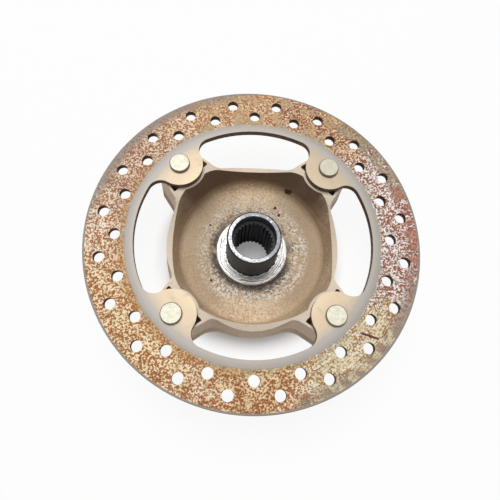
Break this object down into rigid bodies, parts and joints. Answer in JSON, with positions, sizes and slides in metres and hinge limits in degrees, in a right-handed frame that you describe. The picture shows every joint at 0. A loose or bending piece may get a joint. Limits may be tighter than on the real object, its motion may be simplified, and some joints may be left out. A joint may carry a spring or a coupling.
{
  "type": "brake disc rotor",
  "caption": "Drilled steel brake disc riveted to the arms of a cast aluminium bowl carrier with a splined steel sleeve, floating slightly on sprung rivets.",
  "frame": {"origin": "centre of the hub's back face, on the axis of rotation", "axes": "+Z along the axis of rotation, from the hub's back face towards the open side of the bowl; the rivets lie at 45 degrees to X and Y"},
  "size_m": [0.24, 0.24, 0.057],
  "materials": {
    "disc_steel": "stainless disc steel with rust mottling on the swept band and grey unswept lips",
    "carrier_casting": "tan paint over cast aluminium, worn bare at the collar",
    "sleeve_steel": "black oxide with a bright turned end",
    "rivet_steel": "plated steel, dulled, pale cream",
    "washer_steel": "plain spring steel"
  },
  "bodies": {
    "hub": {"carrier": "carrier_casting", "spline_sleeve": "sleeve_steel", "wave_washer_1": "washer_steel", "wave_washer_2": "washer_steel", "wave_washer_3": "washer_steel", "wave_washer_4": "washer_steel"},
    "disc": {"brake_disc": "disc_steel", "rivet_1": "rivet_steel", "rivet_2": "rivet_steel", "rivet_3": "rivet_steel", "rivet_4": "rivet_steel", "back_washer_1": "washer_steel", "back_washer_2": "washer_steel", "back_washer_3": "washer_steel", "back_washer_4": "washer_steel"}
  },
  "joints": [
    {"name": "disc_float", "type": "slide", "parent": "hub", "child": "disc", "axis": [0, 0, 1], "range_m": [0, 0.0003], "stiffness_N_per_m": 100000, "springref_m": -0.001, "deforming": ["wave_washer_1", "wave_washer_2", "wave_washer_3", "wave_washer_4"]}
  ]
}
